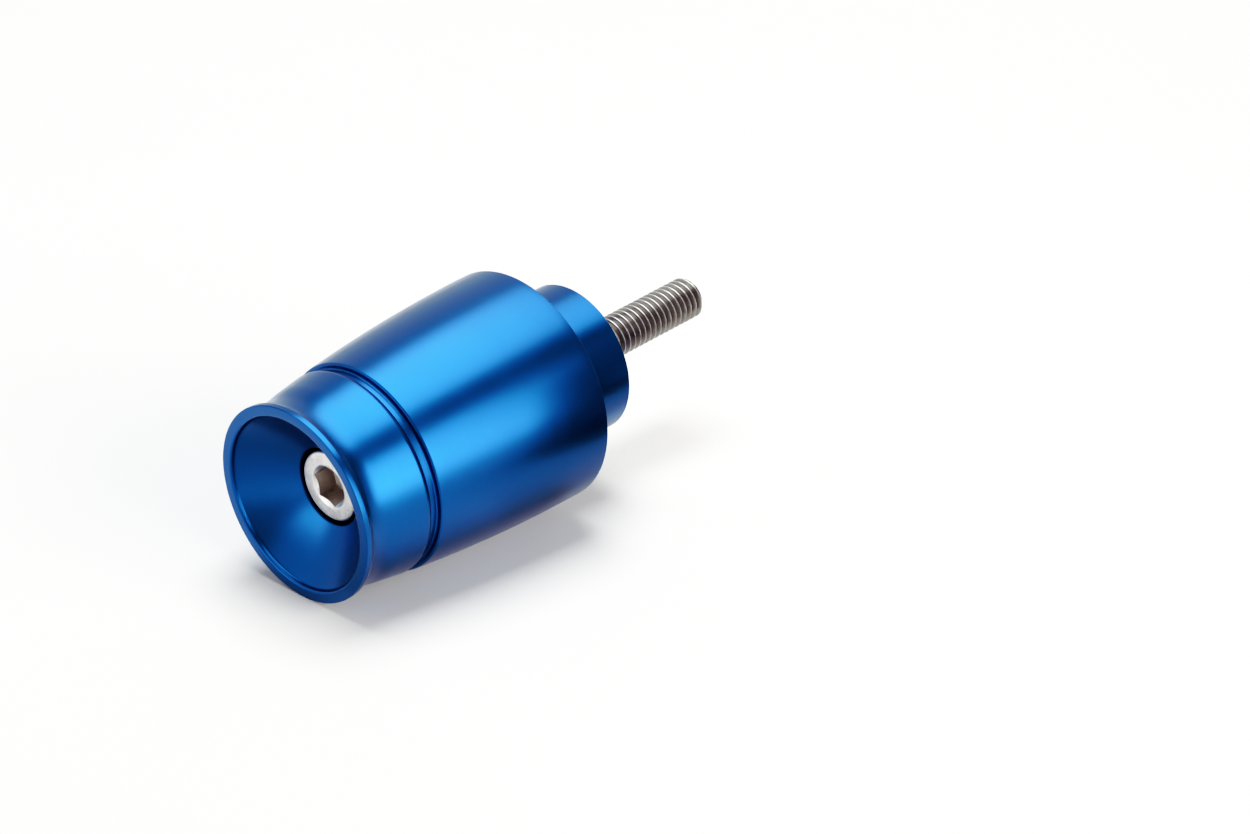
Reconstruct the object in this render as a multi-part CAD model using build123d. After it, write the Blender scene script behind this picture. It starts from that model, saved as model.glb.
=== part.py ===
"""Bar end weight: a turned aluminium weight for the end of a motorbike handlebar,
with the socket head cap screw that holds it.

Frame: the axis is +X. The cup faces -X (away from the bar), the spigot and the
screw's thread point +X (into the bar). The origin is the centre of the shoulder
face, which bears on the end of the grip. +Z is up. Millimetres.

Stations named *_S are measured from the lip's flat face, towards +X.
"""
import os
from math import acos, atan2, cos, degrees, radians, sin, sqrt

from build123d import *

# ---- weight: lengths along the axis, from the lip's face --------------------
SHOULDER_S = 41.10      # shoulder face, the frame's origin
SPIGOT_END_S = 51.25    # free end of the spigot
LIP_BACK_S = 0.86       # back of the lip's land
NECK_S = 1.62           # where the neck starts behind the lip
FLARE_END_S = 10.25     # where the front part's side turns down into the groove
GROOVE_BACK_S = 12.36   # back wall of the groove
BARREL_CREST_S = 40.60  # where the barrel is widest
MOUTH_S = 6.02          # mouth of the screw's counterbore
SEAT_S = 12.06          # floor of the counterbore, under the screw's head

# ---- weight: radii ----------------------------------------------------------
LIP_R = 14.00           # outside of the lip
LIP_INNER_R = 12.42     # inner edge of the lip's face, before it is rounded
NECK_START_R = 13.56    # foot of the slope behind the lip
NECK_R = 13.435         # narrowest part, behind the lip
FLARE_END_R = 14.49     # front part, where it turns down into the groove
GROOVE_FLOOR_R = 13.95
BARREL_R = 16.53        # widest part, just ahead of the shoulder
BARREL_CURVE_R = 233.0  # long arc of the barrel's side
SPIGOT_R = 10.60
COUNTERBORE_R = 5.50
BORE_R = 3.50           # clearance bore for the screw

# ---- weight: recess inside the lip ------------------------------------------
RIM_FOOT_S = 0.62       # foot of the short wall inside the lip
RIM_FOOT_R = 12.27
DISH_SAG = 0.36         # how far the recess bows below a straight cone

# ---- weight: edges ----------------------------------------------------------
LIP_EDGE = 0.18
LIP_BACK_EDGE = 0.30
LIP_INNER_EDGE = 0.42
NECK_FILLET = 0.90
RIM_FOOT_FILLET = 0.80
MOUTH_EDGE = 0.30
GROOVE_FRONT_EDGE = 0.98  # full round from the flare down to the groove's floor
GROOVE_FILLET = 0.25
GROOVE_BACK_EDGE = 0.375
SHOULDER_EDGE = 0.12
SPIGOT_CHAMFER = 0.12
BORE_CHAMFER = 0.30

# ---- screw: M6, socket head, 62 mm under the head ---------------------------
THREAD_R = 3.00
SCREW_LENGTH = 62.0
HEAD_R = 5.00
HEAD_H = 6.00
HEAD_EDGE = 0.40
SOCKET_AF = 5.00
SOCKET_DEPTH = 3.20
SOCKET_POINT = 0.80     # depth of the drill point below the socket
SOCKET_MOUTH_R = 3.02   # countersink at the socket's mouth
SOCKET_TURN = 15.0      # degrees, first corner from +Y towards +Z
UNDERHEAD_FILLET = 0.25
TIP_CHAMFER = 0.85
THREAD_LENGTH = 24.0    # from the tip, run-out included
THREAD_START_S = 51.55  # full thread starts just past the spigot's end
RUNOUT_R = 2.60         # run-out between the plain shank and the full thread
RUNOUT_SLOPE = 0.35


def at(s, r):
    """Profile point from a station and a radius, in the frame's X, Y."""
    return (s - SHOULDER_S, r)


def barrel_r(s):
    return BARREL_R - (BARREL_CURVE_R - sqrt(BARREL_CURVE_R ** 2 - (s - BARREL_CREST_S) ** 2))


def vertices_at(sketch, points):
    """Sketch vertices that lie on the given profile points."""
    found = []
    for px, py in points:
        best = min(sketch.vertices(), key=lambda v: (v.X - px) ** 2 + (v.Y - py) ** 2)
        assert (best.X - px) ** 2 + (best.Y - py) ** 2 < 1e-6, (px, py)
        found.append(best)
    return found


def weight():
    lip_inner = at(0.0, LIP_INNER_R)
    lip_front = at(0.0, LIP_R)
    lip_back = at(LIP_BACK_S, LIP_R)
    neck = at(NECK_S, NECK_START_R)
    flare = Spline(
        neck,
        at(2.10, 13.50),
        at(2.60, 13.455),
        at(3.20, NECK_R),
        at(3.70, 13.45),
        at(4.20, 13.50),
        at(4.90, 13.63),
        at(5.60, 13.78),
        at(6.30, 13.92),
        at(7.00, 14.02),
        at(8.40, 14.22),
        at(FLARE_END_S, FLARE_END_R),
    )
    # the groove's round front edge, tangent to the flare, ends on the groove's floor
    tangent = flare % 1
    slope = atan2(tangent.Y, tangent.X)
    edge_centre_r = FLARE_END_R - GROOVE_FRONT_EDGE * cos(slope)
    sweep = slope + acos((GROOVE_FLOOR_R - edge_centre_r) / GROOVE_FRONT_EDGE)
    groove_edge = JernArc(flare @ 1, tangent, GROOVE_FRONT_EDGE, -degrees(sweep))
    groove_a = groove_edge @ 1
    groove_b = at(GROOVE_BACK_S, GROOVE_FLOOR_R)
    groove_c = at(GROOVE_BACK_S, barrel_r(GROOVE_BACK_S))
    mid_s = (GROOVE_BACK_S + SHOULDER_S) / 2
    barrel_mid = at(mid_s, barrel_r(mid_s))
    shoulder_out = at(SHOULDER_S, barrel_r(SHOULDER_S))
    shoulder_in = at(SHOULDER_S, SPIGOT_R)
    spigot_out = at(SPIGOT_END_S, SPIGOT_R)
    spigot_in = at(SPIGOT_END_S, BORE_R)
    seat_in = at(SEAT_S, BORE_R)
    seat_out = at(SEAT_S, COUNTERBORE_R)
    mouth = at(MOUTH_S, COUNTERBORE_R)
    rim_foot = at(RIM_FOOT_S, RIM_FOOT_R)
    # the recess is a shallow dish: an arc that bows DISH_SAG below the chord
    run_x, run_y = rim_foot[0] - mouth[0], rim_foot[1] - mouth[1]
    chord = sqrt(run_x ** 2 + run_y ** 2)
    dish_mid = ((mouth[0] + rim_foot[0]) / 2 + DISH_SAG * run_y / chord,
                (mouth[1] + rim_foot[1]) / 2 - DISH_SAG * run_x / chord)

    edges = [
        Line(lip_inner, lip_front),
        Line(lip_front, lip_back),
        Line(lip_back, neck),
        flare,
        groove_edge,
        Line(groove_a, groove_b),
        Line(groove_b, groove_c),
        ThreePointArc(groove_c, barrel_mid, shoulder_out),
        Line(shoulder_out, shoulder_in),
        Line(shoulder_in, spigot_out),
        Line(spigot_out, spigot_in),
        Line(spigot_in, seat_in),
        Line(seat_in, seat_out),
        Line(seat_out, mouth),
        ThreePointArc(mouth, dish_mid, rim_foot),
        Line(rim_foot, lip_inner),
    ]
    profile = make_face(edges)
    for points, radius in (
        ([lip_front], LIP_EDGE),
        ([lip_back], LIP_BACK_EDGE),
        ([neck], NECK_FILLET),
        ([groove_b], GROOVE_FILLET),
        ([groove_c], GROOVE_BACK_EDGE),
        ([shoulder_out], SHOULDER_EDGE),
        ([mouth], MOUTH_EDGE),
        ([rim_foot], RIM_FOOT_FILLET),
        ([lip_inner], LIP_INNER_EDGE),
    ):
        for point in points:
            profile = fillet(vertices_at(profile, [point]), radius)
    profile = chamfer(vertices_at(profile, [spigot_out]), SPIGOT_CHAMFER)
    profile = chamfer(vertices_at(profile, [spigot_in]), BORE_CHAMFER)
    return revolve(profile, axis=Axis.X)


def screw():
    top = SEAT_S - HEAD_H
    tip = SEAT_S + SCREW_LENGTH
    axis_top = at(top, 0.0)
    head_front = at(top, HEAD_R)
    head_back = at(SEAT_S, HEAD_R)
    root = at(SEAT_S, THREAD_R)
    runout_s = tip - THREAD_LENGTH
    runout = [
        at(runout_s, THREAD_R),
        at(runout_s + RUNOUT_SLOPE, RUNOUT_R),
        at(THREAD_START_S - RUNOUT_SLOPE, RUNOUT_R),
        at(THREAD_START_S, THREAD_R),
    ]
    tip_out = at(tip, THREAD_R)
    axis_tip = at(tip, 0.0)
    profile = make_face([
        Line(axis_top, head_front),
        Line(head_front, head_back),
        Line(head_back, root),
        Line(root, runout[0]),
        *[Line(a, b) for a, b in zip(runout, runout[1:])],
        Line(runout[-1], tip_out),
        Line(tip_out, axis_tip),
        Line(axis_tip, axis_top),
    ])
    profile = fillet(vertices_at(profile, [head_front]), HEAD_EDGE)
    profile = fillet(vertices_at(profile, [root]), UNDERHEAD_FILLET)
    profile = chamfer(vertices_at(profile, [tip_out]), TIP_CHAMFER)
    body = revolve(profile, axis=Axis.X)

    # hexagon socket, its drill point and the countersink at its mouth
    corner = SOCKET_AF / sqrt(3)
    x_top = top - SHOULDER_S
    plane = Plane(origin=(x_top, 0, 0), x_dir=(0, 1, 0), z_dir=(1, 0, 0))
    points = [
        (corner * cos(radians(SOCKET_TURN + 60 * k)), corner * sin(radians(SOCKET_TURN + 60 * k)))
        for k in range(6)
    ]
    hexagon = plane * make_face(Polyline(*points, close=True))
    socket = extrude(hexagon, SOCKET_DEPTH)
    inscribed = SOCKET_AF / 2
    point_x = x_top + SOCKET_DEPTH
    drill = revolve(make_face(Polyline(
        (point_x - 0.2, 0), (point_x - 0.2, inscribed - 0.02), (point_x, inscribed - 0.02),
        (point_x + SOCKET_POINT, 0), close=True)), axis=Axis.X)
    sink_depth = (SOCKET_MOUTH_R - inscribed) * 0.62
    sink = revolve(make_face(Polyline(
        (x_top - 0.5, 0), (x_top - 0.5, SOCKET_MOUTH_R), (x_top, SOCKET_MOUTH_R),
        (x_top + sink_depth, inscribed), (x_top + sink_depth, 0), close=True)), axis=Axis.X)
    return body - socket - drill - sink


def main():
    os.makedirs("parts", exist_ok=True)
    for name, shape in (("weight", weight()), ("socket_head_screw", screw())):
        solids = shape.solids()
        assert len(solids) == 1, (name, len(solids))
        export_step(solids[0], f"parts/{name}.step")


main()
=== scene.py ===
import math

import bmesh
import bpy
import numpy as np
from mathutils import Matrix, Vector

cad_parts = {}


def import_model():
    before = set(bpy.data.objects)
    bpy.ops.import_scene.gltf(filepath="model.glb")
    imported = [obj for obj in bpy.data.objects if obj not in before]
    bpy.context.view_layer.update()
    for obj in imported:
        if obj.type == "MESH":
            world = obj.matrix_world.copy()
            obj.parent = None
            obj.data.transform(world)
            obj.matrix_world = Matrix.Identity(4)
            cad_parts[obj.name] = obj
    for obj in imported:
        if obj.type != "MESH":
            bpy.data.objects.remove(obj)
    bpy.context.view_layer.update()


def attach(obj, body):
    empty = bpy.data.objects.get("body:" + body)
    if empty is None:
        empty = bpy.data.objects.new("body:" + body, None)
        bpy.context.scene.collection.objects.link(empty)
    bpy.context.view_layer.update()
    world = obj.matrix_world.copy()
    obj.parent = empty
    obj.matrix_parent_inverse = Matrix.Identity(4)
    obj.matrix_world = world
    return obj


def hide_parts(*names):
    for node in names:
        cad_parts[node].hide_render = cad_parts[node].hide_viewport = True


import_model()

MM = 0.001

# ---------------------------------------------------------------------------
# Sizes, the same as the CAD part's, in millimetres. Stations s run along +X
# from the lip's flat face; row x = s - SHOULDER_S.
# ---------------------------------------------------------------------------
SHOULDER_S = 41.10
SPIGOT_END_S = 51.25
BARREL_CREST_S = 40.60
BARREL_R = 16.53
BARREL_CURVE_R = 233.0
SEAT_S = 12.06
HEAD_S = 6.06
TIP_S = 74.06
SOCKET_TURN = 15.0


def barrel_r(s):
    return BARREL_R - (BARREL_CURVE_R - math.sqrt(BARREL_CURVE_R ** 2 - (s - BARREL_CREST_S) ** 2))


# ---------------------------------------------------------------------------
# Turned profiles
# ---------------------------------------------------------------------------
def cubic_through(points, step):
    """Points along a natural cubic through the given ones, every step along s."""
    xs = np.array([p[0] for p in points]); ys = np.array([p[1] for p in points])
    n = len(xs); h = np.diff(xs)
    a = np.zeros((n, n)); b = np.zeros(n)
    a[0, 0] = a[-1, -1] = 1.0
    for i in range(1, n - 1):
        a[i, i - 1] = h[i - 1]; a[i, i] = 2 * (h[i - 1] + h[i]); a[i, i + 1] = h[i]
        b[i] = 6 * ((ys[i + 1] - ys[i]) / h[i] - (ys[i] - ys[i - 1]) / h[i - 1])
    m = np.linalg.solve(a, b)
    out = []
    for s in np.arange(xs[0], xs[-1] + 1e-9, step):
        i = min(max(int(np.searchsorted(xs, s)) - 1, 0), n - 2)
        l, r, w = s - xs[i], xs[i + 1] - s, h[i]
        y = (m[i] * r ** 3 + m[i + 1] * l ** 3) / (6 * w) + (ys[i] / w - m[i] * w / 6) * r + (ys[i + 1] / w - m[i + 1] * w / 6) * l
        out.append((float(s), float(y)))
    return out


def rounded(corners, closed):
    """Turns corners (s, r, edge, kind) into a dense line with its arcs and chamfers."""
    n = len(corners); out = []
    for i, c in enumerate(corners):
        p = Vector(c[:2]); edge = c[2] if len(c) > 2 else 0.0; kind = c[3] if len(c) > 3 else "fillet"
        if edge <= 0 or (not closed and i in (0, n - 1)):
            out.append((p.x, p.y)); continue
        a = (Vector(corners[i - 1][:2]) - p).normalized()
        b = (Vector(corners[(i + 1) % n][:2]) - p).normalized()
        if kind == "chamfer":
            out += [tuple(p + a * edge), tuple(p + b * edge)]
            continue
        half = math.acos(max(-1.0, min(1.0, a.dot(b)))) / 2
        reach = edge / math.tan(half)
        centre = p + (a + b).normalized() * (edge / math.sin(half))
        start, end = p + a * reach - centre, p + b * reach - centre
        turn = math.pi - 2 * half
        sign = 1.0 if start.x * end.y - start.y * end.x > 0 else -1.0
        steps = max(4, int(math.degrees(turn) / 7.0))
        for k in range(steps + 1):
            t = sign * turn * k / steps
            out.append((centre.x + start.x * math.cos(t) - start.y * math.sin(t),
                        centre.y + start.x * math.sin(t) + start.y * math.cos(t)))
    return out


def divide(line, longest, closed):
    """Adds points so that no run is longer than the given length."""
    out = []
    n = len(line)
    for i in range(n if closed else n - 1):
        p, q = line[i], line[(i + 1) % n]
        k = max(1, int(math.ceil(math.hypot(q[0] - p[0], q[1] - p[1]) / longest)))
        for j in range(k):
            t = j / k
            out.append((p[0] + (q[0] - p[0]) * t, p[1] + (q[1] - p[1]) * t))
    if not closed:
        out.append(line[-1])
    return out


def mesh_object(name, verts, faces, uvs=None, sharp_deg=28.0):
    me = bpy.data.meshes.new(name)
    me.from_pydata([tuple(v) for v in verts], [], faces)
    me.validate()
    if uvs is not None:
        layer = me.uv_layers.new(name="UVMap")
        co = np.empty(len(me.loops) * 2, np.float32)
        k = 0
        for poly in me.polygons:
            for li, vi in zip(poly.loop_indices, poly.vertices):
                co[2 * li], co[2 * li + 1] = uvs(poly.index, vi)
                k += 1
        layer.data.foreach_set("uv", co)
    bm = bmesh.new(); bm.from_mesh(me)
    bmesh.ops.remove_doubles(bm, verts=bm.verts, dist=2e-7)
    bmesh.ops.dissolve_degenerate(bm, dist=1e-8, edges=bm.edges)
    bmesh.ops.recalc_face_normals(bm, faces=bm.faces)
    bm.to_mesh(me); bm.free()
    me.shade_smooth()
    me.set_sharp_from_angle(angle=math.radians(sharp_deg))
    ob = bpy.data.objects.new(name, me)
    bpy.context.scene.collection.objects.link(ob)
    return ob


def lathe(name, line, segments, closed, modulate=None, sharp_deg=28.0):
    """A turned mesh about the X axis from a (s, r) line in millimetres."""
    n = len(line)
    run = [0.0]
    for i in range(1, n + (1 if closed else 0)):
        p, q = line[i - 1], line[i % n]
        run.append(run[-1] + math.hypot(q[0] - p[0], q[1] - p[1]))
    verts = []
    for i, (s, r) in enumerate(line):
        for j in range(segments):
            t = 2 * math.pi * j / segments
            rr = modulate(s, r, t) if modulate else r
            verts.append(((s - SHOULDER_S) * MM, rr * math.cos(t) * MM, rr * math.sin(t) * MM))
    faces, tags = [], []
    for i in range(n if closed else n - 1):
        a, b = i * segments, ((i + 1) % n) * segments
        for j in range(segments):
            k = (j + 1) % segments
            faces.append((a + j, b + j, b + k, a + k)); tags.append((i, j))

    def uv(fi, vi):
        i, j = tags[fi]
        ring, seg = divmod(vi, segments)
        u = (j + (1 if seg == (j + 1) % segments else 0)) / segments
        v = run[i + 1] if ring == (i + 1) % n and ring != i else run[i]
        return u, v / 50.0

    return mesh_object(name, verts, faces, uv, sharp_deg)


# ---------------------------------------------------------------------------
# The weight
# ---------------------------------------------------------------------------
flare = [(1.62, 13.56), (2.10, 13.50), (2.60, 13.455), (3.20, 13.435), (3.70, 13.45), (4.20, 13.50), (4.90, 13.63),
         (5.60, 13.78), (6.30, 13.92), (7.00, 14.02), (8.40, 14.22), (10.25, 14.49)]
flare_all = cubic_through(flare, 0.05)
flare_line = [p for p in flare_all[::4] if 2.0 < p[0] < 10.1]
GROOVE_EDGE_R = 0.98                       # round front edge of the groove
GROOVE_FLOOR_R = 13.95
GROOVE_BACK_S = 12.36


def groove_front():
    """The round edge from the flare's end down to the groove's floor."""
    (s0, r0), (s1, r1) = flare_all[-2], flare_all[-1]
    t = math.atan2(r1 - r0, s1 - s0)
    cs, cr = s1 + GROOVE_EDGE_R * math.sin(t), r1 - GROOVE_EDGE_R * math.cos(t)
    end = math.acos((GROOVE_FLOOR_R - cr) / GROOVE_EDGE_R)
    return [(cs + GROOVE_EDGE_R * math.sin(a), cr + GROOVE_EDGE_R * math.cos(a)) for a in np.linspace(-t, end, 22)]


def dish():
    """The recess between the counterbore's mouth and the foot of the rim's wall: a shallow arc."""
    (s0, r0), (s1, r1) = MOUTH, RIM_FOOT
    half = math.hypot(s1 - s0, r1 - r0) / 2
    radius = (half ** 2 + DISH_SAG ** 2) / (2 * DISH_SAG)
    ux, uy = (s1 - s0) / (2 * half), (r1 - r0) / (2 * half)
    nx, ny = (-uy, ux) if -uy > 0 else (uy, -ux)           # towards +s, deeper into the weight
    mx, my = (s0 + s1) / 2 - nx * (radius - DISH_SAG), (r0 + r1) / 2 - ny * (radius - DISH_SAG)
    span = math.asin(half / radius)
    return [(mx + radius * (nx * math.cos(a) + ux * math.sin(a)), my + radius * (ny * math.cos(a) + uy * math.sin(a)))
            for a in np.linspace(-span, span, 27)][1:-1]


MOUTH = (6.02, 5.5)
RIM_FOOT = (0.62, 12.27)
DISH_SAG = 0.36
barrel_line = [(s, barrel_r(s)) for s in np.arange(13.2, 40.61, 0.92)]
corners = (
    [(0.0, 12.42, 0.42), (0.0, 14.0, 0.18), (0.86, 14.0, 0.30), (1.62, 13.56, 0.90)]
    + flare_line
    + groove_front()
    + [(GROOVE_BACK_S, GROOVE_FLOOR_R, 0.25), (GROOVE_BACK_S, barrel_r(GROOVE_BACK_S), 0.375)]
    + barrel_line
    + [(41.10, barrel_r(41.10), 0.12), (41.10, 10.6, 0.12), (51.25, 10.6, 0.12, "chamfer"),
       (51.25, 3.5, 0.30, "chamfer"), (12.06, 3.5, 0.08), (12.06, 5.5, 0.15), (*MOUTH, 0.30)]
    + dish()
    + [(*RIM_FOOT, 0.80)]
)
profile = divide(rounded(corners, True), 1.3, True)
weight = lathe("weight_body", profile, 300, True)

# ---------------------------------------------------------------------------
# The screw: head with its hexagon socket, shank, and a true M6 x 1 thread
# ---------------------------------------------------------------------------
PITCH = 1.0
THREAD_FROM_S = TIP_S - 24.0
HEAD_SEG = 480
corner_r = 5.0 / math.sqrt(3.0)


def hexagon(t):
    """Distance from the axis to the socket's wall at an angle, in millimetres."""
    a = (math.degrees(t) - SOCKET_TURN) % 60.0
    return 2.5 / math.cos(math.radians(a - 30.0))


def head_mesh():
    verts, rings, faces = [], [], []

    def ring(fn):
        base = len(verts)
        for j in range(HEAD_SEG):
            t = 2 * math.pi * j / HEAD_SEG
            s, r = fn(t)
            verts.append(((s - SHOULDER_S) * MM, r * math.cos(t) * MM, r * math.sin(t) * MM))
        rings.append(base)

    def knurl(t, depth):
        a = (t * 72 / (2 * math.pi)) % 1.0
        return depth * (1.0 - abs(2 * a - 1.0)) ** 1.2

    # socket's bottom, its drill point, walls, countersink and the head's face
    point = len(verts)
    verts.append(((HEAD_S + 4.0 - SHOULDER_S) * MM, 0.0, 0.0))
    for r in (0.5, 1.2, 1.9):
        ring(lambda t, r=r: (HEAD_S + 4.0 - 0.8 * r / 2.45, r))
    ring(lambda t: (HEAD_S + 3.2, 2.42))
    ring(lambda t: (HEAD_S + 3.2, hexagon(t) - 0.03))
    ring(lambda t: (HEAD_S + 3.17, hexagon(t)))
    for d in (2.6, 2.0, 1.4, 0.9, 0.6):
        ring(lambda t, d=d: (HEAD_S + d, hexagon(t)))
    ring(lambda t: (HEAD_S + (3.02 - hexagon(t)) * 0.62 + 0.015, hexagon(t)))
    ring(lambda t: (HEAD_S + (3.02 - hexagon(t)) * 0.62 - 0.004, hexagon(t) + 0.02))
    ring(lambda t: (HEAD_S + 0.02, 3.0))
    ring(lambda t: (HEAD_S, 3.04))
    for r in (3.3, 3.6, 3.9, 4.2, 4.45):
        ring(lambda t, r=r: (HEAD_S, r))
    for k in range(7):
        a = math.pi / 2 * k / 6
        ring(lambda t, a=a: (HEAD_S + 0.40 - 0.40 * math.cos(a), 4.60 + 0.40 * math.sin(a)))
    ring(lambda t: (HEAD_S + 0.75, 5.0))
    ring(lambda t: (HEAD_S + 0.95, 5.0 - knurl(t, 0.10)))
    for d in (2.5, 4.0, 5.4):
        ring(lambda t, d=d: (HEAD_S + d, 5.0 - knurl(t, 0.10)))
    ring(lambda t: (HEAD_S + 5.6, 5.0))
    ring(lambda t: (HEAD_S + 5.85, 4.92))
    ring(lambda t: (SEAT_S, 4.72))
    for k in range(5):
        a = math.pi / 2 * k / 4
        ring(lambda t, a=a: (SEAT_S + 0.25 - 0.25 * math.cos(a), 3.25 - 0.25 * math.sin(a)))
    for s in (16.0, 24.0, 34.0, 44.0, THREAD_FROM_S - 0.4):
        ring(lambda t, s=s: (s, 3.0))
    for j in range(HEAD_SEG):
        faces.append((point, rings[0] + j, rings[0] + (j + 1) % HEAD_SEG))
    for a, b in zip(rings, rings[1:]):
        for j in range(HEAD_SEG):
            k = (j + 1) % HEAD_SEG
            faces.append((a + j, b + j, b + k, a + k))
    return verts, faces


def thread_radius(t):
    """External thread form over one pitch, 0 and 1 at the middle of a crest."""
    d = min(t, 1.0 - t) * PITCH            # distance from the crest's middle
    crest, root = 0.085, 0.5 - 0.085
    depth = 0.6134
    if d <= crest:
        drop = 0.02 * (d / crest) ** 2
    elif d >= root:
        u = (d - root) / (0.5 - root)
        drop = 0.02 + (depth - 0.08) + 0.06 * math.sin(u * math.pi / 2)
    else:
        drop = 0.02 + (depth - 0.08) * (d - crest) / (root - crest)
    return 2.985 - drop


THREAD_T = [0.0, 0.040, 0.07, 0.085, 0.14, 0.22, 0.31, 0.38, 0.415, 0.45, 0.50,
            0.55, 0.585, 0.62, 0.69, 0.78, 0.86, 0.915, 0.93, 0.960]
THREAD_SEG = 96


def thread_mesh():
    n = len(THREAD_T)
    turns = 26
    s0, s1 = THREAD_FROM_S - 0.4, TIP_S
    verts, faces = [], []
    rows = turns * n + 1
    first = s0 - PITCH
    for i in range(rows):
        turn, k = divmod(i, n)
        for j in range(THREAD_SEG):
            a = 2 * math.pi * j / THREAD_SEG
            s = first + (turn + THREAD_T[k] + j / THREAD_SEG) * PITCH
            r = thread_radius(THREAD_T[k])
            u = max(0.0, min(1.0, (s - s0) / 1.7))
            r = 3.0 * (1 - u) + r * u if r < 3.0 else r
            edge = TIP_S - s
            if edge < 0.9:
                r = min(r, 2.12 + edge * 0.98)
            s = max(s0, min(s1, s))
            if s >= s1:
                r = 2.12
            verts.append(((s - SHOULDER_S) * MM, r * math.cos(a) * MM, r * math.sin(a) * MM))
    for i in range(rows - 1):
        for j in range(THREAD_SEG):
            if j + 1 < THREAD_SEG:
                quad = (i * THREAD_SEG + j, (i + 1) * THREAD_SEG + j, (i + 1) * THREAD_SEG + j + 1, i * THREAD_SEG + j + 1)
            else:
                if i + 1 + n >= rows:
                    continue
                quad = (i * THREAD_SEG + j, (i + 1) * THREAD_SEG + j, (i + 1 + n) * THREAD_SEG, (i + n) * THREAD_SEG)
            faces.append(quad)
    return verts, faces


def tip_mesh():
    """End face of the screw: flat ring with a shallow hollow."""
    verts, rings, faces = [], [], []
    for s, r in ((TIP_S, 2.12), (TIP_S, 1.75), (TIP_S - 0.05, 1.55), (TIP_S - 0.16, 1.0), (TIP_S - 0.22, 0.5)):
        rings.append(len(verts))
        for j in range(THREAD_SEG):
            t = 2 * math.pi * j / THREAD_SEG
            verts.append(((s - SHOULDER_S) * MM, r * math.cos(t) * MM, r * math.sin(t) * MM))
    centre = len(verts)
    verts.append(((TIP_S - 0.24 - SHOULDER_S) * MM, 0.0, 0.0))
    for a, b in zip(rings, rings[1:]):
        for j in range(THREAD_SEG):
            k = (j + 1) % THREAD_SEG
            faces.append((a + j, b + j, b + k, a + k))
    for j in range(THREAD_SEG):
        faces.append((rings[-1] + j, centre, rings[-1] + (j + 1) % THREAD_SEG))
    return verts, faces


def join(parts):
    verts, faces = [], []
    for v, f in parts:
        base = len(verts)
        verts += v
        faces += [tuple(i + base for i in face) for face in f]
    return verts, faces


screw_v, screw_f = join([head_mesh(), thread_mesh(), tip_mesh()])
screw = mesh_object("cap_screw", screw_v, screw_f, None, 30.0)


# ---------------------------------------------------------------------------
# Materials
# ---------------------------------------------------------------------------
class Nodes:
    def __init__(self, name):
        self.mat = bpy.data.materials.new(name)
        self.mat.use_nodes = True
        self.tree = self.mat.node_tree
        self.tree.nodes.clear()
        self.out = self.tree.nodes.new("ShaderNodeOutputMaterial")
        self.bsdf = self.tree.nodes.new("ShaderNodeBsdfPrincipled")
        self.tree.links.new(self.bsdf.outputs[0], self.out.inputs[0])

    def new(self, kind, **settings):
        node = self.tree.nodes.new(kind)
        for key, value in settings.items():
            setattr(node, key, value)
        return node

    def link(self, a, b):
        self.tree.links.new(a, b)

    def feed(self, value, socket):
        if isinstance(value, bpy.types.NodeSocket):
            self.link(value, socket)
        else:
            socket.default_value = value

    def math(self, op, a, b=0.0, clamp=False):
        node = self.new("ShaderNodeMath", operation=op, use_clamp=clamp)
        self.feed(a, node.inputs[0])
        self.feed(b, node.inputs[1])
        return node.outputs[0]

    def noise(self, vector, scale, detail=2.0, rough=0.5, distortion=0.0, dims="3D"):
        node = self.new("ShaderNodeTexNoise", noise_dimensions=dims)
        if dims == "1D":
            self.feed(vector, node.inputs["W"])
        else:
            self.feed(vector, node.inputs["Vector"])
        node.inputs["Scale"].default_value = scale
        node.inputs["Detail"].default_value = detail
        node.inputs["Roughness"].default_value = rough
        node.inputs["Distortion"].default_value = distortion
        return node.outputs[0]

    def ramp(self, value, stops, interpolation="LINEAR"):
        node = self.new("ShaderNodeValToRGB")
        node.color_ramp.interpolation = interpolation
        while len(node.color_ramp.elements) < len(stops):
            node.color_ramp.elements.new(0.5)
        for element, (at, colour) in zip(node.color_ramp.elements, stops):
            element.position = at
            element.color = (*colour, 1.0) if len(colour) == 3 else colour
        self.feed(value, node.inputs[0])
        return node.outputs[0]

    def remap(self, value, a, b, c, d, smooth=False):
        node = self.new("ShaderNodeMapRange", interpolation_type="SMOOTHSTEP" if smooth else "LINEAR")
        self.feed(value, node.inputs[0])
        for k, x in zip((1, 2, 3, 4), (a, b, c, d)):
            node.inputs[k].default_value = x
        return node.outputs[0]

    def mix(self, factor, a, b, blend="MIX"):
        node = self.new("ShaderNodeMix", data_type="RGBA", blend_type=blend)
        self.feed(factor, node.inputs["Factor"])
        self.feed(a, node.inputs["A"] if isinstance(a, bpy.types.NodeSocket) else node.inputs[6])
        self.feed(b, node.inputs["B"] if isinstance(b, bpy.types.NodeSocket) else node.inputs[7])
        return node.outputs[2]


def mix_colour(n, factor, a, b, blend="MIX"):
    node = n.new("ShaderNodeMix", data_type="RGBA", blend_type=blend)
    n.feed(factor, node.inputs[0])
    for value, slot in ((a, 6), (b, 7)):
        if isinstance(value, bpy.types.NodeSocket):
            n.link(value, node.inputs[slot])
        else:
            node.inputs[slot].default_value = (*value, 1.0)
    return node.outputs[2]


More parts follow.
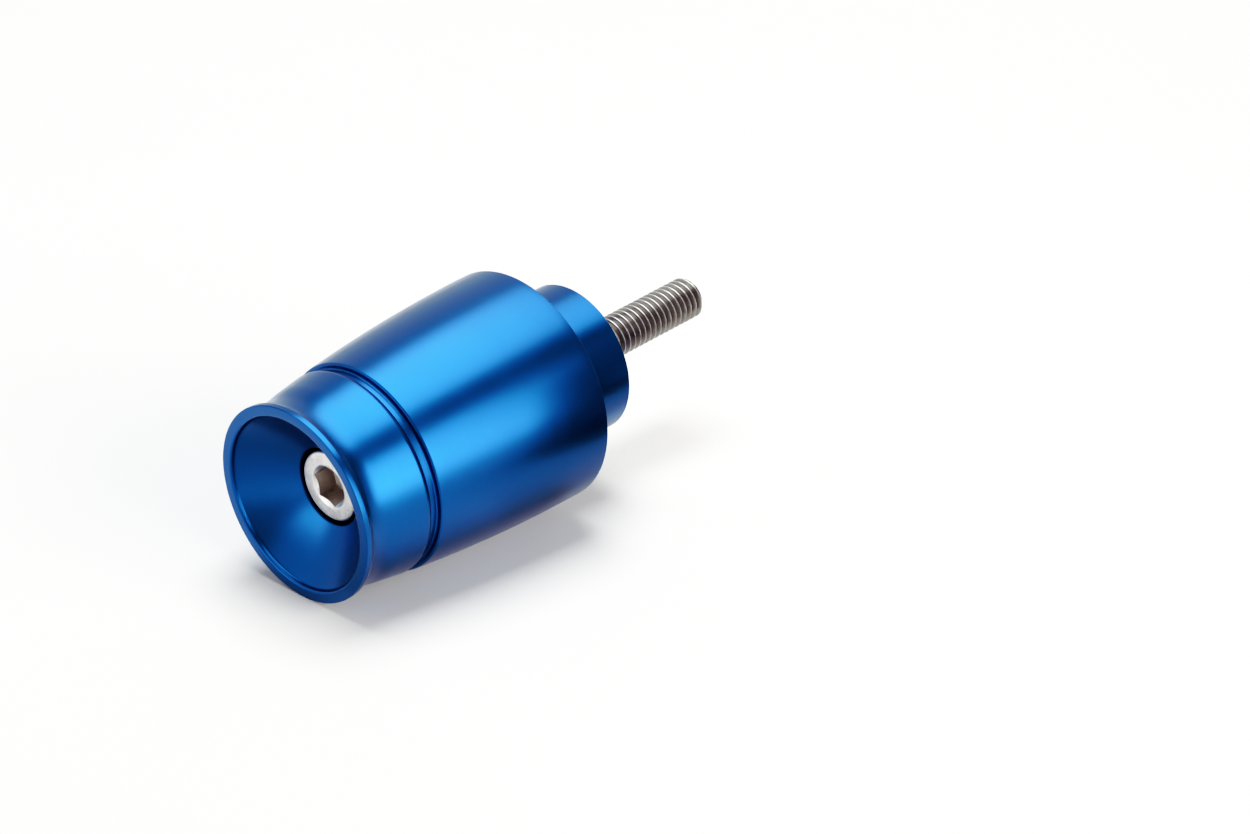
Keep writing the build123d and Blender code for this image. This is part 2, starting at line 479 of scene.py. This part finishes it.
def anodised():
    n = Nodes("anodised_blue_finish")
    b = n.bsdf
    coord = n.new("ShaderNodeTexCoord")
    obj = coord.outputs["Object"]
    uv = n.new("ShaderNodeSeparateXYZ")
    n.link(coord.outputs["UV"], uv.inputs[0])
    run = n.math("MULTIPLY", uv.outputs[1], 50.0)      # millimetres along the turned profile
    # colour: slow drift of the dye, faint rings from the turning, fine grain of the etched surface
    drift = n.noise(obj, 55.0, 3.0, 0.55)
    rings = n.noise(run, 1.6, 4.0, 0.7, dims="1D")
    grain = n.noise(obj, 5200.0, 2.0, 0.6)
    dye = n.ramp(drift, [(0.30, (0.0010, 0.083, 0.25)), (0.70, (0.0018, 0.094, 0.27))])
    ringed = mix_colour(n, n.remap(rings, 0.35, 0.65, 0.0, 0.10), dye, (0.0015, 0.072, 0.232))
    grained = mix_colour(n, n.remap(grain, 0.40, 0.66, 0.0, 0.14), ringed, (0.0035, 0.106, 0.29))
    n.link(grained, b.inputs["Base Color"])
    b.inputs["Metallic"].default_value = 1.0
    b.inputs["Specular Tint"].default_value = (0.53, 0.65, 0.74, 1.0)
    # roughness: satin, with slightly smoother rings and rubbed spots
    rub = n.noise(obj, 160.0, 4.0, 0.62)
    base_rough = n.remap(rings, 0.3, 0.7, 0.298, 0.322)
    rough = n.math("ADD", base_rough, n.remap(rub, 0.35, 0.70, -0.010, 0.016))
    rough = n.math("ADD", rough, n.remap(grain, 0.3, 0.7, -0.005, 0.008))
    n.link(rough, b.inputs["Roughness"])
    b.inputs["Coat Weight"].default_value = 1.0
    b.inputs["Coat Roughness"].default_value = 0.285
    b.inputs["Coat IOR"].default_value = 1.25
    # relief: turning marks and grain
    marks = n.noise(run, 4.0, 2.0, 0.6, dims="1D")
    height = n.math("ADD", n.math("MULTIPLY", marks, 0.45), n.math("MULTIPLY", grain, 0.5))
    bump = n.new("ShaderNodeBump")
    bump.inputs["Strength"].default_value = 0.30
    bump.inputs["Distance"].default_value = 8e-7
    n.link(height, bump.inputs["Height"])
    n.link(bump.outputs[0], b.inputs["Normal"])
    return n.mat


def steel():
    n = Nodes("screw_steel_finish")
    b = n.bsdf
    coord = n.new("ShaderNodeTexCoord")
    obj = coord.outputs["Object"]
    place = n.new("ShaderNodeSeparateXYZ")
    n.link(obj, place.inputs[0])
    x = place.outputs[0]
    # streaks drawn out along the screw, and a finer mottle
    stretched = n.new("ShaderNodeMapping")
    stretched.inputs["Scale"].default_value = (0.35, 1.0, 1.0)
    n.link(obj, stretched.inputs["Vector"])
    blotch = n.noise(stretched.outputs[0], 700.0, 3.0, 0.55, 0.3)
    fine = n.noise(obj, 3200.0, 2.0, 0.55)
    bright = n.ramp(blotch, [(0.30, (0.56, 0.54, 0.515)), (0.50, (0.69, 0.67, 0.645)), (0.72, (0.80, 0.785, 0.765))])
    dull = n.ramp(blotch, [(0.32, (0.222, 0.214, 0.202)), (0.52, (0.278, 0.270, 0.256)), (0.72, (0.340, 0.330, 0.314))])
    # painted shade: past the head's face the socket and the head's side are painted a little darker and browner, as
    # shade in the socket and the counterbore; the thread is duller
    painted_recess_shade = n.remap(x, (HEAD_S + 0.2 - SHOULDER_S) * MM, (HEAD_S + 1.6 - SHOULDER_S) * MM, 0.0, 0.75, True)
    bright = mix_colour(n, painted_recess_shade, bright, (0.47, 0.45, 0.42))
    deep = n.remap(x, (20.0 - SHOULDER_S) * MM, (45.0 - SHOULDER_S) * MM, 0.0, 1.0, True)
    # the thread's crests are rubbed brighter than its flanks
    radius = n.math("SQRT", n.math("ADD", n.math("POWER", place.outputs[1], 2.0), n.math("POWER", place.outputs[2], 2.0)))
    dull = mix_colour(n, n.remap(radius, 2.86 * MM, 2.95 * MM, 0.0, 1.0, True), dull, (0.53, 0.512, 0.490))
    tone = mix_colour(n, deep, bright, dull)
    tone = mix_colour(n, n.remap(fine, 0.42, 0.70, 0.0, 0.20), tone, (0.225, 0.228, 0.215))
    n.link(tone, b.inputs["Base Color"])
    b.inputs["Metallic"].default_value = 1.0
    rough = n.math("ADD", n.remap(blotch, 0.3, 0.7, 0.29, 0.34), n.remap(fine, 0.3, 0.7, -0.008, 0.03))
    n.link(rough, b.inputs["Roughness"])
    bump = n.new("ShaderNodeBump")
    bump.inputs["Strength"].default_value = 0.4
    bump.inputs["Distance"].default_value = 2e-6
    n.link(n.math("ADD", n.math("MULTIPLY", blotch, 0.6), n.math("MULTIPLY", fine, 0.25)), bump.inputs["Height"])
    n.link(bump.outputs[0], b.inputs["Normal"])
    return n.mat


weight.data.materials.append(anodised())
screw.data.materials.append(steel())

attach(weight, "root")
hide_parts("weight")
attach(screw, "root")
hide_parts("socket_head_screw")

# ---------------------------------------------------------------------------
# Stage: a pale floor that touches the lip and the barrel, studio light
# ---------------------------------------------------------------------------
TILT = math.atan2(16.53 - 14.0, 40.60 - 0.43)
UP = Vector((math.sin(TILT), 0.0, math.cos(TILT)))
ACROSS = Vector((math.cos(TILT), 0.0, -math.sin(TILT)))
touch = Vector((-0.5 * MM, 0.0, -16.53 * MM))
floor_at = touch - UP * 0.00002


def floor_mesh():
    me = bpy.data.meshes.new("floor")
    bm = bmesh.new()
    radii = [0.0, 0.02, 0.05, 0.1, 0.2, 0.4, 0.8, 1.6, 3.2, 6.4]
    rings = []
    centre = bm.verts.new(floor_at)
    for r in radii[1:]:
        rings.append([bm.verts.new(floor_at + ACROSS * (r * math.cos(a)) + Vector((0, 1, 0)) * (r * math.sin(a)))
                      for a in (2 * math.pi * k / 64 for k in range(64))])
    for k in range(64):
        bm.faces.new((centre, rings[0][k], rings[0][(k + 1) % 64]))
    for a, b in zip(rings, rings[1:]):
        for k in range(64):
            bm.faces.new((a[k], b[k], b[(k + 1) % 64], a[(k + 1) % 64]))
    bm.to_mesh(me); bm.free()
    me.shade_smooth()
    ob = bpy.data.objects.new("floor", me)
    bpy.context.scene.collection.objects.link(ob)
    n = Nodes("pale_floor")
    coord = n.new("ShaderNodeTexCoord")
    soft = n.noise(coord.outputs["Object"], 14.0, 2.0, 0.5)
    n.link(n.ramp(soft, [(0.3, (0.80, 0.80, 0.80)), (0.7, (0.82, 0.82, 0.82))]), n.bsdf.inputs["Base Color"])
    n.bsdf.inputs["Roughness"].default_value = 0.9
    n.bsdf.inputs["Specular IOR Level"].default_value = 0.0
    me.materials.append(n.mat)
    return ob


floor = floor_mesh()


def direction(az, el):
    a, e = math.radians(az), math.radians(el)
    return Vector((math.cos(e) * math.cos(a), math.cos(e) * math.sin(a), math.sin(e)))


def softbox(name, at, aim, width, height, radiance, colour=(1, 1, 1), diffuse=True, glossy=True, roll_axis=Vector((0, 0, 1))):
    data = bpy.data.lights.new(name, "AREA")
    data.shape = "RECTANGLE"
    data.size, data.size_y = width, height
    data.color = colour
    data.energy = radiance * math.pi * width * height
    ob = bpy.data.objects.new(name, data)
    ob.location = at
    ob.rotation_mode = "QUATERNION"
    z = (at - aim).normalized()
    x = roll_axis.cross(z)
    x = x.normalized() if x.length > 1e-6 else Vector((1, 0, 0))
    y = z.cross(x)
    ob.rotation_quaternion = Matrix((x, y, z)).transposed().to_quaternion()
    ob.visible_camera = False
    ob.visible_diffuse = diffuse
    ob.visible_glossy = glossy
    bpy.context.scene.collection.objects.link(ob)
    return ob


middle = Vector((-0.016, 0.0, 0.0))
# overhead softbox, level
H = 0.60
softbox("softbox_top", middle + Vector((0.30 * H, 0.07 * H, H)), middle + Vector((0.30 * H, 0.07 * H, 0.0)),
        1.10 * H, 1.10 * H, 5.2, diffuse=False, roll_axis=Vector((0, 1, 0)))
# smaller overhead key that only the floor takes, a little to the far side
softbox("key", middle + Vector((0.18, 0.15, 1.0)).normalized() * 0.60, middle, 0.38, 0.38, 9.6, glossy=False,
        roll_axis=Vector((0, 1, 0)))
# side softbox, upright, on the near right
side = direction(-80, 0)
softbox("softbox_side", middle + side * 0.62 + Vector((0, 0, 0.225)), middle + Vector((0, 0, 0.225)),
        0.56, 0.50, 5.2, diffuse=False)
# warm fill from the same side, for the floor under the weight
softbox("fill", middle + side * 0.62 + Vector((0, 0, 0.225)), middle + Vector((0, 0, 0.225)),
        0.56, 0.50, 7.8, colour=(1.0, 0.90, 0.80), glossy=False)
# low softbox in front of the cup
front = direction(163, 14)
softbox("softbox_front", middle + front * 0.60, middle, 0.40, 0.17, 2.5, diffuse=False)
# weak light high in front of the cup
high = direction(155, 47)
softbox("softbox_cup", middle + high * 0.60, middle, 0.62, 0.20, 0.60, diffuse=False)


def flag():
    """A small dark blue card beside the far end, which only reflections see."""
    me = bpy.data.meshes.new("flag_card")
    bm = bmesh.new()
    cx, cy = 0.0206, -0.0447
    rows = []
    for z, rad in ((-0.0155, 0.0180), (-0.010, 0.0160), (-0.004, 0.0140), (0.006, 0.0130), (0.014, 0.0121), (0.022, 0.0112)):
        rows.append([bm.verts.new((cx + rad * math.cos(a), cy + rad * math.sin(a), z)) for a in (2 * math.pi * k / 48 for k in range(48))])
    for a, b in zip(rows, rows[1:]):
        for k in range(48):
            bm.faces.new((a[k], a[(k + 1) % 48], b[(k + 1) % 48], b[k]))
    bm.faces.new(rows[-1])
    far = [[bm.verts.new((x, -0.046, z)) for z in (-0.010, 0.008, 0.026, 0.044)] for x in (0.031, 0.041, 0.051, 0.062)]
    for a, b in zip(far, far[1:]):
        for k in range(3):
            bm.faces.new((a[k], b[k], b[k + 1], a[k + 1]))
    bm.to_mesh(me); bm.free()
    ob = bpy.data.objects.new("flag_card", me)
    bpy.context.scene.collection.objects.link(ob)
    n = Nodes("flag_card")
    n.bsdf.inputs["Base Color"].default_value = (0.003, 0.010, 0.035, 1.0)
    n.bsdf.inputs["Roughness"].default_value = 0.8
    n.bsdf.inputs["Specular IOR Level"].default_value = 0.0
    me.materials.append(n.mat)
    ob.visible_camera = False
    ob.visible_diffuse = False
    ob.visible_shadow = False
    return ob


flag()


def floor_shade_sheets():
    """Grey sheets on the floor in front of the cup, beside the spigot and under the thread, which only reflections see:
    painted shade of the floor as seen in reflections.
    """
    me = bpy.data.meshes.new("floor_shade_sheets")
    bm = bmesh.new()
    for x0, x1, ys in ((-0.0445, -0.1195, (-0.060, -0.036, -0.012, 0.010)), (-0.0140, 0.0300, (-0.062, -0.044, -0.028, -0.012)),
                       (0.0300, 0.0900, (-0.040, -0.022, -0.006, 0.010))):
        cols = []
        for i in range(13):
            x = x0 + (x1 - x0) * i / 12
            foot = floor_at + ACROSS * ((x - floor_at.x) / ACROSS.x) + UP * 0.0012
            cols.append([bm.verts.new((foot.x, y, foot.z)) for y in ys])
        for a, b in zip(cols, cols[1:]):
            for k in range(3):
                bm.faces.new((a[k], b[k], b[k + 1], a[k + 1]))
    bm.to_mesh(me); bm.free()
    ob = bpy.data.objects.new("floor_shade_sheets", me)
    bpy.context.scene.collection.objects.link(ob)
    n = Nodes("floor_shade_sheets")
    coord = n.new("ShaderNodeTexCoord")
    place = n.new("ShaderNodeSeparateXYZ")
    n.link(coord.outputs["Object"], place.inputs[0])
    # painted shade along x: light far in front, grey close to the cup, light again, mid grey beside the spigot, dark
    # under the thread
    n.link(n.ramp(n.remap(place.outputs[0], -0.120, 0.050, 0.0, 1.0),
                  [(0.0, (0.90, 0.90, 0.90)), (0.29, (0.80, 0.80, 0.80)), (0.36, (0.54, 0.54, 0.55)), (0.45, (0.48, 0.48, 0.49)),
                   (0.60, (0.80, 0.80, 0.80)), (0.70, (0.56, 0.56, 0.55)), (0.88, (0.52, 0.52, 0.51)), (0.90, (0.14, 0.14, 0.14))]),
           n.bsdf.inputs["Base Color"])
    n.bsdf.inputs["Roughness"].default_value = 0.9
    n.bsdf.inputs["Specular IOR Level"].default_value = 0.0
    me.materials.append(n.mat)
    ob.visible_camera = False
    ob.visible_diffuse = False
    ob.visible_shadow = False
    return ob


floor_shade_sheets()


def dark_card():
    """A black card right of the side softbox, which only reflections see."""
    me = bpy.data.meshes.new("dark_card")
    bm = bmesh.new()
    out, along = direction(-38.0, 0.0), direction(52.0, 0.0)
    cols = []
    for i in range(9):
        u = (i / 8 - 0.5) * 0.41
        cols.append([bm.verts.new(middle + out * 0.56 + along * u + Vector((0, 0, z))) for z in (-0.03, 0.15, 0.35, 0.60)])
    for a, b in zip(cols, cols[1:]):
        for k in range(3):
            bm.faces.new((a[k], b[k], b[k + 1], a[k + 1]))
    bm.to_mesh(me); bm.free()
    ob = bpy.data.objects.new("dark_card", me)
    bpy.context.scene.collection.objects.link(ob)
    n = Nodes("dark_card")
    coord = n.new("ShaderNodeTexCoord")
    n.link(n.ramp(n.noise(coord.outputs["Object"], 30.0, 2.0), [(0.3, (0.010, 0.010, 0.011)), (0.7, (0.018, 0.018, 0.019))]), n.bsdf.inputs["Base Color"])
    n.bsdf.inputs["Roughness"].default_value = 0.9
    n.bsdf.inputs["Specular IOR Level"].default_value = 0.0
    me.materials.append(n.mat)
    ob.visible_camera = False
    ob.visible_diffuse = False
    ob.visible_shadow = False
    return ob


dark_card()


def world():
    w = bpy.data.worlds.new("studio")
    bpy.context.scene.world = w
    w.use_nodes = True
    w.cycles.sampling_method = "NONE"
    t = w.node_tree
    t.nodes.clear()
    out = t.nodes.new("ShaderNodeOutputWorld")
    path = t.nodes.new("ShaderNodeLightPath")
    coord = t.nodes.new("ShaderNodeTexCoord")
    dot = t.nodes.new("ShaderNodeVectorMath"); dot.operation = "DOT_PRODUCT"
    dot.inputs[1].default_value = (UP - Vector((0.0, 0.21, 0.0))).normalized()   # the far side is a little lighter
    t.links.new(coord.outputs["Generated"], dot.inputs[0])
    ramp = t.nodes.new("ShaderNodeValToRGB")
    ramp.color_ramp.interpolation = "EASE"
    stops = [(0.0, 1.0), (0.34, 1.0), (0.58, 0.55), (0.76, 0.16), (1.0, 0.12)]   # by the sine of the elevation
    while len(ramp.color_ramp.elements) < len(stops):
        ramp.color_ramp.elements.new(0.5)
    for e, (at, v) in zip(ramp.color_ramp.elements, stops):
        e.position = at; e.color = (v, v, v, 1.0)
    t.links.new(dot.outputs["Value"], ramp.inputs[0])
    # the side that the cup looks at is darker
    side_dot = t.nodes.new("ShaderNodeVectorMath"); side_dot.operation = "DOT_PRODUCT"
    side_dot.inputs[1].default_value = direction(214, 12)
    t.links.new(coord.outputs["Generated"], side_dot.inputs[0])
    dark = t.nodes.new("ShaderNodeMapRange"); dark.interpolation_type = "SMOOTHSTEP"
    for k, v in zip((1, 2, 3, 4), (0.72, 0.97, 1.0, 0.52)):
        dark.inputs[k].default_value = v
    t.links.new(side_dot.outputs["Value"], dark.inputs[0])
    shade = t.nodes.new("ShaderNodeVectorMath"); shade.operation = "SCALE"
    t.links.new(ramp.outputs[0], shade.inputs[0])
    t.links.new(dark.outputs[0], shade.inputs["Scale"])
    studio = t.nodes.new("ShaderNodeBackground")
    t.links.new(shade.outputs[0], studio.inputs[0])
    studio.inputs[1].default_value = 1.0
    backdrop = t.nodes.new("ShaderNodeBackground")
    backdrop.inputs[0].default_value = (1.0, 1.0, 1.0, 1.0)
    backdrop.inputs[1].default_value = 2.5
    mix = t.nodes.new("ShaderNodeMixShader")
    t.links.new(path.outputs["Is Camera Ray"], mix.inputs[0])
    t.links.new(studio.outputs[0], mix.inputs[1])
    t.links.new(backdrop.outputs[0], mix.inputs[2])
    t.links.new(mix.outputs[0], out.inputs[0])


world()

# ---------------------------------------------------------------------------
# Camera at the photograph's viewing angle
# ---------------------------------------------------------------------------
cam_data = bpy.data.cameras.new("camera")
cam = bpy.data.objects.new("camera", cam_data)
bpy.context.scene.collection.objects.link(cam)
cam_data.sensor_width = 36.0
cam_data.lens = 134.37
cam_data.clip_start, cam_data.clip_end = 0.02, 30.0
right = Vector((0.7029, -0.7095, -0.0497))
up = Vector((0.3831, 0.3188, 0.8669))
forward = Vector((0.5993, 0.6284, -0.4959)).normalized()
right = (right - forward * right.dot(forward)).normalized()
up = right.cross(forward)
cam.rotation_mode = "QUATERNION"
cam.rotation_quaternion = Matrix((right, up, -forward)).transposed().to_quaternion()
cam.location = Vector((-0.3688, -0.4066, 0.3074)) + up * 0.00009
bpy.context.scene.camera = cam

view = bpy.context.scene.view_settings
view.view_transform = "Standard"
view.look = "None"
# a print-like tone curve: soft toe, slow shoulder, over scene values from 0 to 2
view.use_curve_mapping = True
tone = view.curve_mapping
TOP = 2.0
tone.white_level = (TOP, TOP, TOP)


def set_curve(curve, points):
    curve.points[0].location = points[0]
    curve.points[1].location = points[-1]
    for x, y in points[1:-1]:
        curve.points.new(x, y)
    for p in curve.points:
        p.handle_type = "AUTO_CLAMPED"


set_curve(tone.curves[3], [(x / TOP, y) for x, y in (
    (0.0, 0.0), (0.02, 0.004), (0.083, 0.042), (0.15, 0.112), (0.235, 0.232), (0.40, 0.41), (0.60, 0.605),
    (0.85, 0.80), (1.0, 0.88), (1.22, 0.965), (1.42, 1.0), (TOP, 1.0))])
set_curve(tone.curves[0], [(x / TOP, y / TOP) for x, y in (
    (0.0, 0.0), (0.012, 0.009), (0.03, 0.03), (0.055, 0.072), (0.08, 0.10), (0.11, 0.13), (0.20, 0.21), (0.30, 0.30), (TOP, TOP))])
tone.update()
